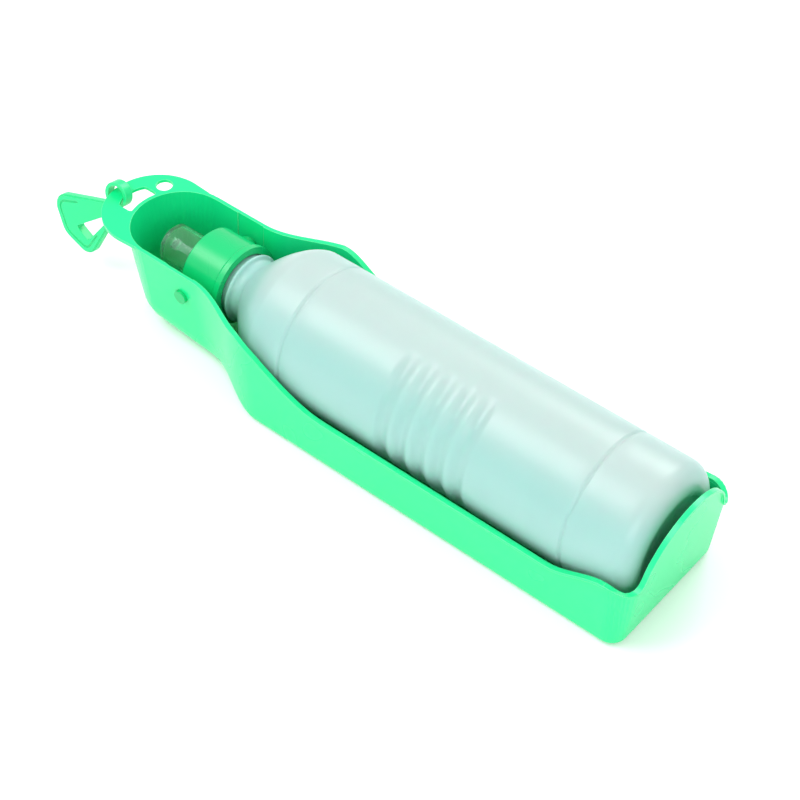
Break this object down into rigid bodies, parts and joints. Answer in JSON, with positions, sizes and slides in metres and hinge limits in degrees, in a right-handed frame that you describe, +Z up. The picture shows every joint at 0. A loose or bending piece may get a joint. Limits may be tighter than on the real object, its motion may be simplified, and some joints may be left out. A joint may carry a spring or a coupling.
{
  "type": "dog travel water bottle",
  "caption": "Pet travel water bottle that folds out of a boat-shaped drinking trough on two pins, with a pull-open spout and a triangular hanging hook.",
  "frame": {"origin": "on the flat underside of the trough, straight below the pivot axis of the cap's pins", "axes": "+X along the bottle towards its base, +Y across the trough, +Z up out of the trough"},
  "size_m": [0.3323, 0.0722, 0.0642],
  "materials": {
    "trough_green": "gloss",
    "bottle_milk": "translucent satin",
    "cap_green": "satin",
    "seal_rubber": "matt",
    "stem_plastic": "satin",
    "spout_clear": "clear gloss plastic",
    "hook_green": "gloss"
  },
  "bodies": {
    "trough": {"tray": "trough_green"},
    "cap_body": {"cap": "cap_green", "cap_gasket": "seal_rubber", "valve_stem": "stem_plastic"},
    "bottle_body": {"bottle": "bottle_milk"},
    "spout_body": {"spout": "spout_clear", "spout_seal": "seal_rubber"},
    "hook_body": {"hook": "hook_green"}
  },
  "joints": [
    {"name": "fold_pivot", "type": "hinge", "parent": "trough", "child": "cap_body", "pos_m": [0, 0, 0.0332], "axis": [0, -1, 0], "range_deg": [0, 120]},
    {"name": "bottle_unscrew", "type": "hinge", "parent": "cap_body", "child": "bottle_body", "pos_m": [0.02, 0, 0.0332], "axis": [1, 0, 0], "range_deg": [0, 360]},
    {"name": "spout_pull", "type": "slide", "parent": "cap_body", "child": "spout_body", "axis": [-1, 0, 0], "range_m": [0, 0.0025]},
    {"name": "hook_swing", "type": "hinge", "parent": "trough", "child": "hook_body", "pos_m": [-0.05591, -0.0024, 0.04625], "axis": [0.0842, -0.9623, 0.2588], "range_deg": [-90, 40]}
  ]
}
